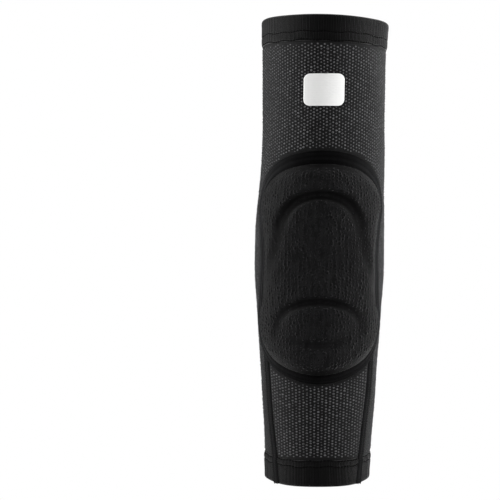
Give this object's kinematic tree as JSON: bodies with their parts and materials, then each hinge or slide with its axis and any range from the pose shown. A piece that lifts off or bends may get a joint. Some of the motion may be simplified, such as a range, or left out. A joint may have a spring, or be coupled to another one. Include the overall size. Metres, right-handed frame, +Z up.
{
  "type": "padded elbow sleeve",
  "caption": "Knitted tube sleeve for a slightly bent arm with hemmed ends, flat side seams and a raised segmented pad over the elbow, worn to cushion the elbow in sport.",
  "frame": {"origin": "on the arm's axis at the elbow, half way along the sleeve, where the arm holds it", "axes": "+Z up along the sleeve towards the upper arm, -Y towards the elbow pad, +X to the right of someone who looks at the pad"},
  "size_m": [0.0886, 0.1111, 0.3078],
  "materials": {
    "mesh_knit": "open mesh knit with raised lighter loops",
    "hem_knit": "fine rib knit, turned and cover-stitched",
    "border_knit": "flat plain knit",
    "pad_cover": "matt fine knit over foam",
    "seam_tape": "flat seam in plain knit",
    "print_film": "thin heat-transfer print"
  },
  "bodies": {
    "root": {"sleeve_tube": "mesh_knit", "upper_cuff": "hem_knit", "lower_cuff": "hem_knit", "pad_border": "border_knit", "pad_crescent": "pad_cover", "pad_cap": "pad_cover", "pad_heel": "pad_cover", "side_seam_right": "seam_tape", "side_seam_left": "seam_tape", "print_patch": "print_film"}
  },
  "joints": []
}
